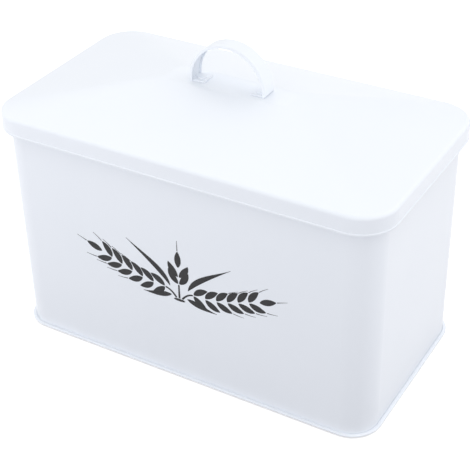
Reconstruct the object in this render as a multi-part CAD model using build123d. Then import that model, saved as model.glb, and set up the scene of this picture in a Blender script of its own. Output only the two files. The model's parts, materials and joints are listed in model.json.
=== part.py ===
from build123d import *
from math import atan2, cos, hypot, radians, sin, tan
import os

# Bread bin of powder-coated sheet steel with a lift-off lid and a fixed strap handle.
# Millimetres, +Z up, X along the length, the front faces -Y.
# The origin lies on the table, under the middle of the bin.

# Sheet that the wall, the base and the lid are pressed from
SHEET = 0.6

# Wall of the bin, measured over its outer faces
BODY_LENGTH = 316.5
BODY_WIDTH = 168.0
BODY_CORNER_RADIUS = 22.0

# Rolled rim, an open curl turned outwards
RIM_TOP = 198.0
RIM_RADIUS = 2.75
RIM_TURN = 300.0

# Lock seam up the middle of the back, where the ends of the wall sheet are folded together
LOCK_SEAM_WIDTH = 6.5
LOCK_SEAM_PROUD = 0.6
LOCK_SEAM_EDGE = 0.3
LOCK_SEAM_END_GAP = 1.5

# Seam round the foot, where the edge of the base is folded over the flange of the wall
SEAM_BOTTOM = 1.0
SEAM_REACH = 3.0
SEAM_LAYER_GAP = 0.05
SEAM_EDGE_GAP = 0.4

# Base panel, set up inside the seam
BASE_RECESS = 5.0
BASE_BEND_RADIUS = 1.8

# Pads under the base
PAD_DIAMETER = 12.0
PAD_EDGE = 1.0
PAD_INSET = 24.0

# Lid
LID_SIDE_CLEARANCE = 0.65
LID_SEAT_GAP = 0.3
EAVE_RADIUS = 3.0
SKIRT_DEPTH = 14.8
HEM_HEIGHT = 1.8
HEM_PROUD = 0.4
HEM_EDGE = 0.4
ROOF_RISE = 21.6
PLATEAU_LENGTH = 104.0
PLATEAU_WIDTH = 26.0
PLATEAU_CORNER_RADIUS = 8.0
PLATEAU_EDGE_RADIUS = 12.0

# Handle, an arch of channel-section strap with its open side inwards and short straight legs
HANDLE_RADIUS = 32.5
HANDLE_LEG = 2.0
HANDLE_WIDTH = 14.5
HANDLE_SHEET = 1.0
HANDLE_FLANGE = 2.3
HANDLE_EDGE_RADIUS = 1.4
HANDLE_FOOT_LENGTH = 12.0
HANDLE_FOOT_GAP = 0.2
HANDLE_FOOT_BEND = 1.6

# Rivets that hold the handle, each set on a washer inside the lid
RIVET_DIAMETER = 3.5
RIVET_HOLE_GAP = 0.1
RIVET_HEAD_DIAMETER = 7.0
RIVET_HEAD_HEIGHT = 0.9
RIVET_HEAD_EDGE = 0.4
RIVET_TAIL_DIAMETER = 5.0
RIVET_TAIL_HEIGHT = 1.0
WASHER_DIAMETER = 9.0
WASHER_THICKNESS = 0.8

# Foot seam: the flange of the wall lies between two layers of the base.
# Distances run outwards from the outer face of the wall, to the middle of the sheet.
LAYER_PITCH = SHEET + SEAM_LAYER_GAP
WALL_MIDDLE = -SHEET / 2
UPSTAND_MIDDLE = WALL_MIDDLE - LAYER_PITCH
LOWER_LAYER_Z = SEAM_BOTTOM + SHEET / 2
FLANGE_Z = LOWER_LAYER_Z + LAYER_PITCH
UPPER_LAYER_Z = FLANGE_Z + LAYER_PITCH
SEAM_TOP = UPPER_LAYER_Z + SHEET / 2
FLANGE_BEND_RADIUS = LAYER_PITCH
BASE_EDGE_BEND_RADIUS = FLANGE_BEND_RADIUS + LAYER_PITCH
SEAM_BEND_OUT = WALL_MIDDLE + FLANGE_BEND_RADIUS
SEAM_BEND_Z = FLANGE_Z + FLANGE_BEND_RADIUS
SEAM_FOLD_OUT = SEAM_REACH - SHEET / 2 - LAYER_PITCH

# Heights and reach that follow from the rim
RIM_CENTRE_Z = RIM_TOP - RIM_RADIUS
RIM_CENTRE_OUT = RIM_RADIUS - SHEET
RIM_PROUD = 2 * RIM_RADIUS - SHEET
BASE_UNDERSIDE = SEAM_BOTTOM + BASE_RECESS

# Lid, sized to pass over the rim
LID_GROWTH = RIM_PROUD + LID_SIDE_CLEARANCE + SHEET
LID_LENGTH = BODY_LENGTH + 2 * LID_GROWTH
LID_WIDTH = BODY_WIDTH + 2 * LID_GROWTH
LID_CORNER_RADIUS = BODY_CORNER_RADIUS + LID_GROWTH
LID_CORNER_X = LID_LENGTH / 2 - LID_CORNER_RADIUS
LID_CORNER_Y = LID_WIDTH / 2 - LID_CORNER_RADIUS
PLATEAU_CORNER_X = PLATEAU_LENGTH / 2 - PLATEAU_CORNER_RADIUS
PLATEAU_CORNER_Y = PLATEAU_WIDTH / 2 - PLATEAU_CORNER_RADIUS
HIP_RUN = hypot(LID_CORNER_X - PLATEAU_CORNER_X, LID_CORNER_Y - PLATEAU_CORNER_Y)
# The roof is shallowest along the hips, so these set how low the lid comes over the rim
ROOF_ANGLE = atan2(ROOF_RISE, HIP_RUN + LID_CORNER_RADIUS - PLATEAU_CORNER_RADIUS)
RIM_TO_ROOF = RIM_RADIUS + LID_SEAT_GAP + SHEET
ROOF_FALL = (LID_GROWTH - RIM_CENTRE_OUT) * tan(ROOF_ANGLE)
EAVE_Z = RIM_CENTRE_Z + RIM_TO_ROOF / cos(ROOF_ANGLE) - ROOF_FALL
INNER_EAVE_DROP = SHEET * (1 - sin(ROOF_ANGLE)) / cos(ROOF_ANGLE)
PLATEAU_Z = EAVE_Z + ROOF_RISE
HEM_BOTTOM = EAVE_Z - SKIRT_DEPTH

# Rivets stand in the middle of the feet
RIVET_OUT = HANDLE_RADIUS - HANDLE_SHEET - HANDLE_FOOT_LENGTH / 2
RIVET_HOLE_RADIUS = RIVET_DIAMETER / 2 + RIVET_HOLE_GAP


def ring(section, length, width, radius):
    """Carry a section round a rounded rectangle: X of the section points outwards, Y points up."""
    half_run_x = length / 2 - radius
    half_run_y = width / 2 - radius
    corners = [(half_run_x, half_run_y), (-half_run_x, half_run_y)]
    corners += [(-half_run_x, -half_run_y), (half_run_x, -half_run_y)]
    pieces = []
    for quarter, (centre_x, centre_y) in enumerate(corners):
        turn = radians(90 * quarter)
        outwards = (cos(turn), sin(turn), 0)
        backwards = (sin(turn), -cos(turn), 0)
        start = Plane(origin=(centre_x, centre_y, 0), x_dir=outwards, z_dir=backwards)
        placed = start * Pos(radius, 0) * section
        run = 2 * (half_run_x if quarter % 2 else half_run_y)
        pieces.append(extrude(placed, amount=run, dir=backwards))
        upright = Axis((centre_x, centre_y, 0), (0, 0, 1))
        pieces.append(revolve(placed, axis=upright, revolution_arc=90))
    return Part() + pieces


def rounded_block(length, width, radius, bottom, top):
    """Upright block with rounded corners between two heights."""
    return Pos(0, 0, bottom) * extrude(RectangleRounded(length, width, radius), amount=top - bottom)


def make_wall_wrap():
    """Wall sheet with its rolled rim, the lock seam at the back and the flange at the foot."""
    curl = CenterArc((RIM_CENTRE_OUT, RIM_CENTRE_Z), RIM_RADIUS - SHEET / 2, 180, -RIM_TURN)
    wall = Line((WALL_MIDDLE, RIM_CENTRE_Z), (WALL_MIDDLE, SEAM_BEND_Z))
    bend = CenterArc((SEAM_BEND_OUT, SEAM_BEND_Z), FLANGE_BEND_RADIUS, 180, 90)
    flange = Line((SEAM_BEND_OUT, FLANGE_Z), (SEAM_FOLD_OUT, FLANGE_Z))
    section = trace([curl, wall, bend, flange], SHEET)
    sheet = ring(section, BODY_LENGTH, BODY_WIDTH, BODY_CORNER_RADIUS)
    seam_bottom = SEAM_TOP + LOCK_SEAM_END_GAP
    seam_top = RIM_TOP - 2 * RIM_RADIUS - LOCK_SEAM_END_GAP
    back = BODY_WIDTH / 2
    fold_outline = Polyline(
        (-LOCK_SEAM_WIDTH / 2, back - SHEET / 2),
        (-LOCK_SEAM_WIDTH / 2, back + LOCK_SEAM_PROUD),
        (LOCK_SEAM_WIDTH / 2, back + LOCK_SEAM_PROUD),
        (LOCK_SEAM_WIDTH / 2, back - SHEET / 2),
        close=True,
    )
    fold = make_face(fold_outline)
    fold = fillet(fold.vertices().group_by(Axis.Y)[-1], LOCK_SEAM_EDGE)
    lock_seam = Pos(0, 0, seam_bottom) * extrude(fold, amount=seam_top - seam_bottom)
    return sheet + lock_seam


def make_base_pan():
    """Base with its recessed panel and the edge that is folded round the flange of the wall."""
    panel_middle = BASE_UNDERSIDE + SHEET / 2
    bend_out = UPSTAND_MIDDLE - BASE_BEND_RADIUS
    bend_z = panel_middle - BASE_BEND_RADIUS
    panel_bend = CenterArc((bend_out, bend_z), BASE_BEND_RADIUS, 90, -90)
    upstand = Line((UPSTAND_MIDDLE, bend_z), (UPSTAND_MIDDLE, SEAM_BEND_Z))
    edge_bend = CenterArc((SEAM_BEND_OUT, SEAM_BEND_Z), BASE_EDGE_BEND_RADIUS, 180, 90)
    lower_layer = Line((SEAM_BEND_OUT, LOWER_LAYER_Z), (SEAM_FOLD_OUT, LOWER_LAYER_Z))
    fold = CenterArc((SEAM_FOLD_OUT, FLANGE_Z), LAYER_PITCH, -90, 180)
    upper_layer = Line((SEAM_FOLD_OUT, UPPER_LAYER_Z), (SEAM_EDGE_GAP, UPPER_LAYER_Z))
    section = trace([panel_bend, upstand, edge_bend, lower_layer, fold, upper_layer], SHEET)
    edge = ring(section, BODY_LENGTH, BODY_WIDTH, BODY_CORNER_RADIUS)
    panel = rounded_block(
        BODY_LENGTH + 2 * bend_out,
        BODY_WIDTH + 2 * bend_out,
        BODY_CORNER_RADIUS + bend_out,
        BASE_UNDERSIDE,
        BASE_UNDERSIDE + SHEET,
    )
    return edge + panel


def make_foot_pad(side_x, side_y):
    """Round pad between the table and the base panel, near one corner."""
    pad = extrude(Circle(PAD_DIAMETER / 2), amount=BASE_UNDERSIDE)
    pad = fillet(pad.edges().group_by(Axis.Z)[0], PAD_EDGE)
    return Pos(side_x * (BODY_LENGTH / 2 - PAD_INSET), side_y * (BODY_WIDTH / 2 - PAD_INSET), 0) * pad


def lid_form(inset, eave_z, eave_radius, bottom):
    """Solid form of the lid: upright skirt, rounded eave, hipped roof and flat top."""
    length = LID_LENGTH - 2 * inset
    width = LID_WIDTH - 2 * inset
    radius = LID_CORNER_RADIUS - inset
    plateau_z = PLATEAU_Z - inset
    eave = Pos(0, 0, eave_z) * RectangleRounded(length, width, radius)
    plateau = Pos(0, 0, plateau_z) * RectangleRounded(PLATEAU_LENGTH, PLATEAU_WIDTH, PLATEAU_CORNER_RADIUS)
    roof = loft([eave, plateau], ruled=True)
    form = roof + rounded_block(length, width, radius, bottom, eave_z)
    near = SHEET / 4
    eave_edges = form.edges().filter_by_position(Axis.Z, eave_z - near, eave_z + near)
    form = fillet(eave_edges, eave_radius)
    plateau_edges = form.edges().filter_by_position(Axis.Z, plateau_z - near, plateau_z + near)
    return fillet(plateau_edges, PLATEAU_EDGE_RADIUS)


def make_lid_shell():
    """Pressed lid with a hemmed lower edge and the two holes for the rivets."""
    skirt_bottom = HEM_BOTTOM + HEM_HEIGHT / 2
    outside = lid_form(0, EAVE_Z, EAVE_RADIUS, skirt_bottom)
    inside = lid_form(SHEET, EAVE_Z - INNER_EAVE_DROP, EAVE_RADIUS - SHEET, HEM_BOTTOM)
    hem_width = SHEET + HEM_PROUD
    hem_centre = Pos(HEM_PROUD - hem_width / 2, HEM_BOTTOM + HEM_HEIGHT / 2)
    hem_section = hem_centre * Rectangle(hem_width, HEM_HEIGHT)
    lower_corners = hem_section.vertices().group_by(Axis.Y)[0]
    outer_corner = hem_section.vertices().group_by(Axis.Y)[-1].sort_by(Axis.X)[-1]
    hem_section = fillet([*lower_corners, outer_corner], HEM_EDGE)
    hem = ring(hem_section, LID_LENGTH, LID_WIDTH, LID_CORNER_RADIUS)
    holes = [
        Pos(side * RIVET_OUT, 0, PLATEAU_Z) * Cylinder(RIVET_HOLE_RADIUS, 4 * SHEET)
        for side in (-1, 1)
    ]
    return (outside - inside) + hem - holes


def make_handle_strap():
    """Channel strap bent to an arch on straight legs, with a narrower foot turned in at each end."""
    channel = Pos(HANDLE_RADIUS - HANDLE_FLANGE / 2, 0) * Rectangle(HANDLE_FLANGE, HANDLE_WIDTH)
    channel = fillet(channel.vertices().group_by(Axis.X)[-1], HANDLE_EDGE_RADIUS)
    trough_depth = HANDLE_FLANGE - HANDLE_SHEET
    trough_width = HANDLE_WIDTH - 2 * HANDLE_SHEET
    channel -= Pos(HANDLE_RADIUS - HANDLE_FLANGE + trough_depth / 2, 0) * Rectangle(trough_depth, trough_width)
    arch_z = PLATEAU_Z + HANDLE_LEG
    arch_axis = Axis((0, 0, arch_z), (0, -1, 0))
    arch = revolve(Pos(0, 0, arch_z) * channel, axis=arch_axis, revolution_arc=180)
    leg = extrude(Pos(0, 0, PLATEAU_Z) * channel, amount=HANDLE_LEG)
    strap = arch + leg + mirror(leg, about=Plane.YZ)
    foot_width = trough_width - 2 * HANDLE_FOOT_GAP
    foot_reach = HANDLE_SHEET / 2 + HANDLE_FOOT_LENGTH
    foot_middle = HANDLE_RADIUS - HANDLE_SHEET / 2 - foot_reach / 2
    bend_z = PLATEAU_Z + HANDLE_FOOT_BEND
    for side in (-1, 1):
        foot = Box(foot_reach, foot_width, HANDLE_SHEET)
        strap += Pos(side * foot_middle, 0, PLATEAU_Z + HANDLE_SHEET / 2) * foot
        bend_x = side * (HANDLE_RADIUS - HANDLE_FOOT_BEND)
        corner = Pos(side * HANDLE_RADIUS, 0, PLATEAU_Z) * Box(
            2 * HANDLE_FOOT_BEND, HANDLE_WIDTH, 2 * HANDLE_FOOT_BEND
        )
        corner -= Pos(bend_x, 0, bend_z) * Rot(90, 0, 0) * Cylinder(HANDLE_FOOT_BEND, HANDLE_WIDTH)
        strap -= corner
        strap -= Pos(side * RIVET_OUT, 0, PLATEAU_Z) * Cylinder(RIVET_HOLE_RADIUS, 4 * HANDLE_SHEET)
    return strap


def make_rivet(side):
    """Flat-headed rivet through the handle's foot and the lid, its tail set on the washer."""
    head_bottom = PLATEAU_Z + HANDLE_SHEET
    tail_top = PLATEAU_Z - SHEET - WASHER_THICKNESS
    head = extrude(Circle(RIVET_HEAD_DIAMETER / 2), amount=RIVET_HEAD_HEIGHT)
    head = fillet(head.edges().group_by(Axis.Z)[-1], RIVET_HEAD_EDGE)
    tail = extrude(Circle(RIVET_TAIL_DIAMETER / 2), amount=-RIVET_TAIL_HEIGHT)
    tail = fillet(tail.edges().group_by(Axis.Z)[0], RIVET_TAIL_HEIGHT / 2)
    shank = Pos(0, 0, tail_top) * extrude(Circle(RIVET_DIAMETER / 2), amount=head_bottom - tail_top)
    rivet = Pos(0, 0, head_bottom) * head + shank + Pos(0, 0, tail_top) * tail
    return Pos(side * RIVET_OUT, 0, 0) * rivet


def make_washer(side):
    """Washer inside the lid, under the rivet's tail."""
    bottom = PLATEAU_Z - SHEET - WASHER_THICKNESS
    disc = Circle(WASHER_DIAMETER / 2) - Circle(RIVET_HOLE_RADIUS)
    return Pos(side * RIVET_OUT, 0, bottom) * extrude(disc, amount=WASHER_THICKNESS)


nodes = {
    "wall_wrap": make_wall_wrap(),
    "base_pan": make_base_pan(),
    "lid_shell": make_lid_shell(),
    "handle_strap": make_handle_strap(),
}
for end, side_y in (("front", -1), ("rear", 1)):
    for hand, side_x in (("left", -1), ("right", 1)):
        nodes[f"foot_pad_{end}_{hand}"] = make_foot_pad(side_x, side_y)
for hand, side in (("left", -1), ("right", 1)):
    nodes[f"handle_rivet_{hand}"] = make_rivet(side)
    nodes[f"rivet_washer_{hand}"] = make_washer(side)

os.makedirs("parts", exist_ok=True)
for name, solid in nodes.items():
    export_step(solid, f"parts/{name}.step")
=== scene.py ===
import json
import math

import bmesh
import bpy
from mathutils import Matrix, Vector


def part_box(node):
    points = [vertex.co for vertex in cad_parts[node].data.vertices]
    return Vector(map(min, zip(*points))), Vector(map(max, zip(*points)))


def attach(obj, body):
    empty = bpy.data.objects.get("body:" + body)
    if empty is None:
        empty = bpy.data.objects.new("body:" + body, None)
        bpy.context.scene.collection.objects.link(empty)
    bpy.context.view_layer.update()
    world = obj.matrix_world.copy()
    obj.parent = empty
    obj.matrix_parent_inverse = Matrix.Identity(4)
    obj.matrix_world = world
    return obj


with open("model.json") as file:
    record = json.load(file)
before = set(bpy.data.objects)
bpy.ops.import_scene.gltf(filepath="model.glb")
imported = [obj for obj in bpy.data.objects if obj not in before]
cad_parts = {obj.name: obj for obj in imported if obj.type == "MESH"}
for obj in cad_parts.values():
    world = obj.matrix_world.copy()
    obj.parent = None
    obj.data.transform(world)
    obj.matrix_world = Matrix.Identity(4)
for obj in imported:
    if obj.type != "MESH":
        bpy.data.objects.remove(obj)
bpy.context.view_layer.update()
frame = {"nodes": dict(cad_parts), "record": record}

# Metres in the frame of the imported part, +Z up and the front towards -Y, unless a comment says otherwise
MM = 0.001

# Camera of the photograph, found from the lid's edges, the upright corners and the foot
PHOTO_PIXELS = 470
FOCAL_PIXELS = 1205.5
SENSOR_MM = 36.0
CAMERA_AZIMUTH = math.radians(30.94)
CAMERA_ELEVATION = math.radians(33.93)
CAMERA_ROLL = math.radians(-1.35)
CAMERA_DISTANCE = 0.9655
CAMERA_AIM = Vector((0.0, 0.0, 0.09706))
CAMERA_PAN_RIGHT = 0.27 * MM
CAMERA_PAN_UP = -9.37 * MM

# Floor and surroundings
WHITE = (1.0, 1.0, 1.0, 1.0)
FLOOR_HALF_SIZE = 2.5
FLOOR_DROP = 0.05 * MM
FLOOR_BOUNCE = (0.240, 0.236, 0.266, 1.0)
FLOOR_SHADOWED = (0.95, 0.95, 0.95, 1.0)
FLOOR_GLOW = 0.390
WORLD_STRENGTH = 0.640

# Noise keeps near one half: the stretches of it that run over a whole range of roughness or colour
ROUGHNESS_STRETCH = (0.3, 0.7)
COLOUR_STRETCH = (0.35, 0.65)

# Front wall of the bin: the rolled rim stands proud of it by this much
RIM_PROUD = 4.9 * MM
FRONT_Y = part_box("wall_wrap")[0].y + RIM_PROUD

# Print on the front wall, in which each shape lies one layer higher than the shape before it
PRINT_CENTRE_Z = 97.0 * MM
PRINT_THICKNESS = 0.08 * MM
PRINT_SINK = 0.01 * MM
PRINT_LAYER = 0.002 * MM

# Curves of the printed wheat, in the middle and on the right, in millimetres about the centre of the print
SIDE_EAR = [(13.0, -12.5), (34.0, -13.5), (52.0, -5.0), (70.0, 1.5)]
MIDDLE_EAR = [(0.0, -6.0), (0.0, -2.0), (0.0, 2.0), (0.0, 9.0)]
SIDE_STEM = [(2.6, -19.5), (6.0, -15.0), (9.0, -13.0), (12.2, -12.7)]
MIDDLE_STEM = [(0.0, -19.5), (0.0, -16.0), (0.0, -11.0), (0.0, -7.0)]
UPPER_LEAF = [(8.0, -10.0), (14.0, 2.0), (26.0, 8.0), (46.0, 21.5)]
LOWER_LEAF = [(7.0, -18.0), (14.0, -20.0), (22.0, -22.5), (33.0, -23.0)]
TIE = [(-5.0, -21.2), (-2.0, -21.2), (2.0, -21.2), (5.0, -21.2)]

# Straight steps along each of these curves
SIDE_STEM_STEPS = 12
MIDDLE_STEM_STEPS = 8
UPPER_LEAF_STEPS = 24
LOWER_LEAF_STEPS = 18
TIE_STEPS = 14
GRAIN_STEPS = 18
AWN_STEPS = 8

# Pairs of grains in an ear, and the pair from which they have awns; no pair of the middle ear has them
SIDE_EAR_PAIRS = 6
SIDE_EAR_AWNED_FROM = 2
MIDDLE_EAR_PAIRS = 2

# Grain and awn in millimetres: in and out are towards the ear's axis and away from it
GRAIN_LENGTH = 14.5
GRAIN_TILT = math.radians(38.0)
GRAIN_OFF_AXIS = 0.5
GRAIN_TIP_IN = 0.9
BELLY_SHARE = 0.35
BELLY_OUT = 0.9
NECK_SHARE = 0.72
NECK_OUT = 0.4
AWN_LENGTH = 9.0
AWN_GAP = 0.7
AWN_BEND_SHARE = 0.5
AWN_LEAVE_SHARE = 0.6
AWN_TIP_IN = 0.8

# Widths of the printed shapes, in millimetres
GRAIN_HALF_WIDTH = 2.75
LEAF_HALF_WIDTH = 2.3
STEM_HALF_WIDTH = 0.7
TIE_HALF_WIDTH = 1.1
AWN_HALF_WIDTH = 0.3
TIP_HALF_WIDTH = 0.1

# How the widths change along a shape: a lean below 1 puts the widest place nearer to the foot,
# a low slimness gives round ends, and a taper is the share of the width that is lost on the way
GRAIN_LEAN = 0.85
GRAIN_SLIMNESS = 0.8
LEAF_LEAN = 0.7
LEAF_SLIMNESS = 1.1
TIE_LEAN = 1.0
TIE_SLIMNESS = 0.4
STEM_FOOT_SHARE = 1.15
STEM_TAPER = 0.3
AWN_TAPER = 0.7


def empty_tree(owner, output_kind):
    """Node tree of a material or world with only its output; returns the tree and the output's socket."""
    owner.use_nodes = True
    tree = owner.node_tree
    tree.nodes.clear()
    output = tree.nodes.new(output_kind)
    return tree, output.inputs["Surface"]


def noise(tree, scale, detail):
    """Noise over the piece's own coordinates, whose grain is about one metre divided by the scale."""
    place = tree.nodes.new("ShaderNodeTexCoord")
    texture = tree.nodes.new("ShaderNodeTexNoise")
    texture.inputs["Scale"].default_value = scale
    texture.inputs["Detail"].default_value = detail
    tree.links.new(place.outputs["Object"], texture.inputs["Vector"])
    return texture.outputs["Fac"]


def spread(tree, value, low, high):
    """Noise value stretched to run from low to high."""
    stretch = tree.nodes.new("ShaderNodeMapRange")
    stretch.inputs["From Min"].default_value = ROUGHNESS_STRETCH[0]
    stretch.inputs["From Max"].default_value = ROUGHNESS_STRETCH[1]
    stretch.inputs["To Min"].default_value = low
    stretch.inputs["To Max"].default_value = high
    tree.links.new(value, stretch.inputs["Value"])
    return stretch.outputs["Result"]


def two_tone(tree, value, first, second):
    """Colour that wanders between two tones with a noise value."""
    ramp = tree.nodes.new("ShaderNodeValToRGB")
    for element, position, tone in zip(ramp.color_ramp.elements, COLOUR_STRETCH, (first, second)):
        element.position = position
        element.color = (*tone, 1.0)
    tree.links.new(value, ramp.inputs["Fac"])
    return ramp.outputs["Color"]


def bump(tree, height, distance, strength):
    """Bump from a height."""
    node = tree.nodes.new("ShaderNodeBump")
    node.inputs["Distance"].default_value = distance
    node.inputs["Strength"].default_value = strength
    tree.links.new(height, node.inputs["Height"])
    return node.outputs["Normal"]


def finish(name, tones, tone_noise, roughness, sheen_noise, specular, skin_noise, skin_depth, skin_strength):
    """Material whose colour, roughness and skin wander a little; a noise is given by its scale and detail."""
    material = bpy.data.materials.new(name)
    tree, surface = empty_tree(material, "ShaderNodeOutputMaterial")
    shader = tree.nodes.new("ShaderNodeBsdfPrincipled")
    shader.inputs["Specular IOR Level"].default_value = specular
    colour = two_tone(tree, noise(tree, *tone_noise), *tones)
    sheen = spread(tree, noise(tree, *sheen_noise), *roughness)
    skin = bump(tree, noise(tree, *skin_noise), skin_depth, skin_strength)
    tree.links.new(colour, shader.inputs["Base Color"])
    tree.links.new(sheen, shader.inputs["Roughness"])
    tree.links.new(skin, shader.inputs["Normal"])
    tree.links.new(shader.outputs["BSDF"], surface)
    return material


def powder_coat():
    """White powder coat with a cool cast: glossy, even, with a very fine orange-peel skin."""
    return finish(
        "white_powder_coat",
        tones=((0.817, 0.853, 0.910), (0.825, 0.860, 0.916)),
        tone_noise=(12.0, 2.0),
        roughness=(0.288, 0.302),
        sheen_noise=(40.0, 2.0),
        specular=0.38,
        skin_noise=(700.0, 2.0),
        skin_depth=0.004 * MM,
        skin_strength=0.05,
    )


def pad_rubber():
    """Soft grey rubber with a fine matt grain."""
    return finish(
        "grey_pad_rubber",
        tones=((0.50, 0.51, 0.52), (0.56, 0.57, 0.58)),
        tone_noise=(250.0, 3.0),
        roughness=(0.55, 0.70),
        sheen_noise=(400.0, 2.0),
        specular=0.5,
        skin_noise=(1500.0, 2.0),
        skin_depth=0.05 * MM,
        skin_strength=0.4,
    )


def black_print():
    """Black satin print, a little uneven where the ink lies thinner."""
    return finish(
        "black_print",
        tones=((0.010, 0.010, 0.012), (0.018, 0.018, 0.020)),
        tone_noise=(300.0, 3.0),
        roughness=(0.38, 0.50),
        sheen_noise=(150.0, 3.0),
        specular=0.3,
        skin_noise=(900.0, 2.0),
        skin_depth=0.02 * MM,
        skin_strength=0.3,
    )


def mix_by_ray(tree, lighting, shown, surface):
    """Shows one shader to camera, glossy and transmission rays, and lights the object with the other."""
    path = tree.nodes.new("ShaderNodeLightPath")
    seen = path.outputs["Is Camera Ray"]
    for name in ("Is Glossy Ray", "Is Transmission Ray"):
        either = tree.nodes.new("ShaderNodeMath")
        either.operation = "MAXIMUM"
        tree.links.new(seen, either.inputs[0])
        tree.links.new(path.outputs[name], either.inputs[1])
        seen = either.outputs["Value"]
    mix = tree.nodes.new("ShaderNodeMixShader")
    tree.links.new(seen, mix.inputs["Fac"])
    tree.links.new(lighting, mix.inputs[1])
    tree.links.new(shown, mix.inputs[2])
    tree.links.new(mix.outputs["Shader"], surface)


def make_world():
    """White surroundings that light the object evenly."""
    world = bpy.data.worlds.new("studio")
    bpy.context.scene.world = world
    tree, surface = empty_tree(world, "ShaderNodeOutputWorld")
    lighting = tree.nodes.new("ShaderNodeBackground")
    lighting.inputs["Color"].default_value = WHITE
    lighting.inputs["Strength"].default_value = WORLD_STRENGTH
    shown = tree.nodes.new("ShaderNodeBackground")
    shown.inputs["Color"].default_value = WHITE
    mix_by_ray(tree, lighting.outputs["Background"], shown.outputs["Background"], surface)


def pale_floor():
    """Pale matt material that shows white, keeps a light shadow and sends light back up."""
    material = bpy.data.materials.new("pale_floor")
    tree, surface = empty_tree(material, "ShaderNodeOutputMaterial")
    bounce = tree.nodes.new("ShaderNodeBsdfDiffuse")
    bounce.inputs["Color"].default_value = FLOOR_BOUNCE
    shadowed = tree.nodes.new("ShaderNodeBsdfDiffuse")
    shadowed.inputs["Color"].default_value = FLOOR_SHADOWED
    glow = tree.nodes.new("ShaderNodeEmission")
    glow.inputs["Strength"].default_value = FLOOR_GLOW
    shown = tree.nodes.new("ShaderNodeAddShader")
    tree.links.new(shadowed.outputs["BSDF"], shown.inputs[0])
    tree.links.new(glow.outputs["Emission"], shown.inputs[1])
    mix_by_ray(tree, bounce.outputs["BSDF"], shown.outputs["Shader"], surface)
    return material


def make_floor():
    """Wide floor, just under the pads."""
    mesh = bpy.data.meshes.new("floor")
    half = FLOOR_HALF_SIZE
    corners = [(-half, -half, 0), (half, -half, 0), (half, half, 0), (-half, half, 0)]
    mesh.from_pydata(corners, [], [(0, 1, 2, 3)])
    mesh.materials.append(pale_floor())
    floor = bpy.data.objects.new("floor", mesh)
    floor.location.z = -FLOOR_DROP
    bpy.context.scene.collection.objects.link(floor)


def make_light(name, place, size, power, mirrored):
    """Square soft box that faces the middle of the object, with or without its mirror image in the gloss."""
    lamp = bpy.data.lights.new(name, "AREA")
    lamp.shape = "SQUARE"
    lamp.size = size
    lamp.energy = power
    light = bpy.data.objects.new(name, lamp)
    light.location = place
    light.visible_glossy = mirrored
    light.rotation_mode = "QUATERNION"
    light.rotation_quaternion = (CAMERA_AIM - Vector(place)).to_track_quat("-Z", "Y")
    bpy.context.scene.collection.objects.link(light)


def make_camera():
    """Camera where the photograph was taken from."""
    azimuth = CAMERA_AZIMUTH
    level = math.cos(CAMERA_ELEVATION)
    back = Vector((math.sin(azimuth) * level, -math.cos(azimuth) * level, math.sin(CAMERA_ELEVATION)))
    upright_right = Vector((math.cos(azimuth), math.sin(azimuth), 0.0))
    right = Matrix.Rotation(CAMERA_ROLL, 3, back) @ upright_right
    up = back.cross(right)
    data = bpy.data.cameras.new("photo_camera")
    data.sensor_width = SENSOR_MM
    data.lens = FOCAL_PIXELS * SENSOR_MM / PHOTO_PIXELS
    camera = bpy.data.objects.new("photo_camera", data)
    place = CAMERA_AIM + right * CAMERA_PAN_RIGHT + up * CAMERA_PAN_UP + back * CAMERA_DISTANCE
    camera.matrix_world = Matrix.Translation(place) @ Matrix((right, up, back)).transposed().to_4x4()
    bpy.context.scene.collection.objects.link(camera)
    bpy.context.scene.camera = camera


def along(curve, share):
    """Point and direction at a share of the way along a cubic curve."""
    start, leave, arrive, end = [Vector(point) for point in curve]
    rest = 1.0 - share
    place = (
        start * rest ** 3
        + leave * 3 * rest ** 2 * share
        + arrive * 3 * rest * share ** 2
        + end * share ** 3
    )
    slope = (leave - start) * rest ** 2 + (arrive - leave) * 2 * rest * share + (end - arrive) * share ** 2
    return place, slope.normalized()


def to_the_left(direction):
    """Direction a quarter turn to the left of another."""
    return Vector((-direction.y, direction.x))


def ribbon(curve, half_width, steps):
    """Flat shape along a curve: pairs of edge points, as wide as half_width gives for each share."""
    pairs = []
    for step in range(steps + 1):
        share = step / steps
        place, direction = along(curve, share)
        side = to_the_left(direction) * max(half_width(share), TIP_HALF_WIDTH)
        pairs.append((place + side, place - side))
    return pairs


def mirror(shape):
    """Same shape on the other side of the middle."""
    return [(Vector((-right.x, right.y)), Vector((-left.x, left.y))) for left, right in shape]


def swell(share, lean, slimness):
    """Width that grows from nothing to one and goes back to nothing."""
    return math.sin(math.pi * share ** lean) ** slimness


def grain_width(share):
    """Half width of a grain: full and round near its foot, drawn out to a point."""
    return GRAIN_HALF_WIDTH * swell(share, GRAIN_LEAN, GRAIN_SLIMNESS)


def leaf_width(share):
    """Half width of a leaf, widest before its middle and slender at both ends."""
    return LEAF_HALF_WIDTH * swell(share, LEAF_LEAN, LEAF_SLIMNESS)


def tie_width(share):
    """Half width of the tie, rounded at both ends."""
    return TIE_HALF_WIDTH * swell(share, TIE_LEAN, TIE_SLIMNESS)


def stem_width(share):
    """Half width of a stem, a little wider at its foot."""
    return STEM_HALF_WIDTH * (STEM_FOOT_SHARE - STEM_TAPER * share)


def awn_width(share):
    """Half width of an awn, which thins out to its tip."""
    return AWN_HALF_WIDTH * (1.0 - AWN_TAPER * share)


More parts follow.
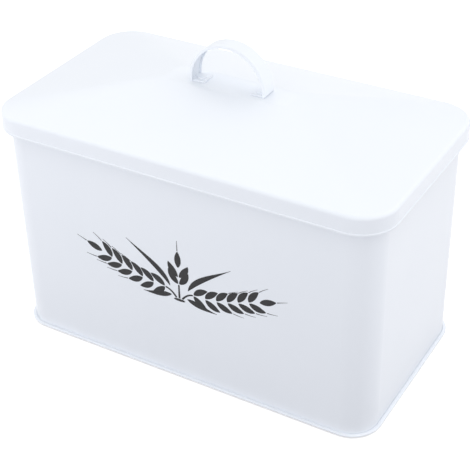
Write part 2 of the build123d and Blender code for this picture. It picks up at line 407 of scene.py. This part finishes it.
def grain_shapes(foot, direction, inwards):
    """A grain that bends a little towards the ear's axis, and its awn."""
    side = to_the_left(direction) * inwards
    tip = foot + direction * GRAIN_LENGTH + side * GRAIN_TIP_IN
    belly = foot + direction * GRAIN_LENGTH * BELLY_SHARE - side * BELLY_OUT
    neck = foot + direction * GRAIN_LENGTH * NECK_SHARE - side * NECK_OUT
    grain = [foot, belly, neck, tip]
    awn_way = (tip - neck).normalized()
    awn_start = tip + awn_way * AWN_GAP
    awn_bend = awn_start + awn_way * AWN_LENGTH * AWN_BEND_SHARE
    awn_end = awn_start + awn_way * AWN_LENGTH + side * AWN_TIP_IN
    awn = [awn_start, awn_start.lerp(awn_bend, AWN_LEAVE_SHARE), awn_bend, awn_end]
    return [ribbon(grain, grain_width, GRAIN_STEPS), ribbon(awn, awn_width, AWN_STEPS)]


def ear_shapes(curve, pairs, awned_from):
    """Pairs of grains along a curve, awned from the pair awned_from on, and an awned one at its end."""
    shapes = []
    for pair in range(pairs):
        place, direction = along(curve, pair / pairs)
        for hand in (-1, 1):
            foot = place + to_the_left(direction) * hand * GRAIN_OFF_AXIS
            tilt = Matrix.Rotation(GRAIN_TILT * hand, 2)
            grain, awn = grain_shapes(foot, tilt @ direction, -hand)
            shapes.append(grain)
            if pair >= awned_from:
                shapes.append(awn)
    place, direction = along(curve, 1.0)
    return shapes + grain_shapes(place, direction, 0)


def wheat_shapes():
    """Shapes of three ears of wheat with their stems and leaves, and the tie at their foot."""
    one_side = ear_shapes(SIDE_EAR, SIDE_EAR_PAIRS, SIDE_EAR_AWNED_FROM)
    one_side.append(ribbon(SIDE_STEM, stem_width, SIDE_STEM_STEPS))
    one_side.append(ribbon(UPPER_LEAF, leaf_width, UPPER_LEAF_STEPS))
    one_side.append(ribbon(LOWER_LEAF, leaf_width, LOWER_LEAF_STEPS))
    other_side = [mirror(shape) for shape in one_side]
    middle = ear_shapes(MIDDLE_EAR, MIDDLE_EAR_PAIRS, MIDDLE_EAR_PAIRS)
    middle.append(ribbon(MIDDLE_STEM, stem_width, MIDDLE_STEM_STEPS))
    middle.append(ribbon(TIE, tie_width, TIE_STEPS))
    return one_side + other_side + middle


def add_printed(work, shape, front):
    """Closed thin solid of one printed shape, from its front face to just inside the wall."""
    back = FRONT_Y + PRINT_SINK
    rings = []
    for left, right in shape:
        corners = [(left, front), (right, front), (right, back), (left, back)]
        places = [(point.x * MM, depth, PRINT_CENTRE_Z + point.y * MM) for point, depth in corners]
        rings.append([work.verts.new(place) for place in places])
    for ring, following in zip(rings, rings[1:]):
        for corner in range(len(ring)):
            beside = (corner + 1) % len(ring)
            work.faces.new((ring[corner], ring[beside], following[beside], following[corner]))
    work.faces.new(rings[0])
    work.faces.new(rings[-1])


def make_print():
    """Black print of three ears of wheat, tied at the foot, as one thin piece on the front wall."""
    work = bmesh.new()
    for layer, shape in enumerate(wheat_shapes()):
        add_printed(work, shape, FRONT_Y - PRINT_THICKNESS - PRINT_LAYER * layer)
    bmesh.ops.recalc_face_normals(work, faces=work.faces)
    mesh = bpy.data.meshes.new("wheat_print")
    work.to_mesh(mesh)
    work.free()
    mesh.materials.append(black_print())
    piece = bpy.data.objects.new("wheat_print", mesh)
    bpy.context.scene.collection.objects.link(piece)
    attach(piece, "bin")


def dress_cad_nodes():
    """Gives every CAD node the finish of its material slot."""
    finishes = {"coated_steel": powder_coat(), "pad_rubber": pad_rubber()}
    for part in frame["record"]["subparts"]:
        mesh = frame["nodes"][part["node"]].data
        mesh.materials.clear()
        mesh.materials.append(finishes[part["material_slot"]])


bpy.context.scene.view_settings.view_transform = "Standard"
make_camera()
make_world()
make_floor()
make_light("front_left_low_soft_box", (-0.573, -0.683, 0.222), size=0.35, power=2.12, mirrored=False)
make_light("front_soft_box", (0.279, -0.766, 0.477), size=0.35, power=1.74, mirrored=False)
make_light("right_low_soft_box", (0.891, 0.0, 0.222), size=0.35, power=1.50, mirrored=False)
make_light("back_low_soft_box", (-0.250, 0.865, 0.222), size=0.35, power=1.10, mirrored=False)
make_light("back_right_high_soft_box", (0.500, 0.500, 0.940), size=1.3, power=4.37, mirrored=False)
make_light("back_left_high_soft_box", (-0.542, 0.454, 0.940), size=1.0, power=1.67, mirrored=True)
make_light("left_high_soft_box", (-0.500, -0.350, 0.868), size=0.35, power=0.41, mirrored=True)
dress_cad_nodes()
make_print()
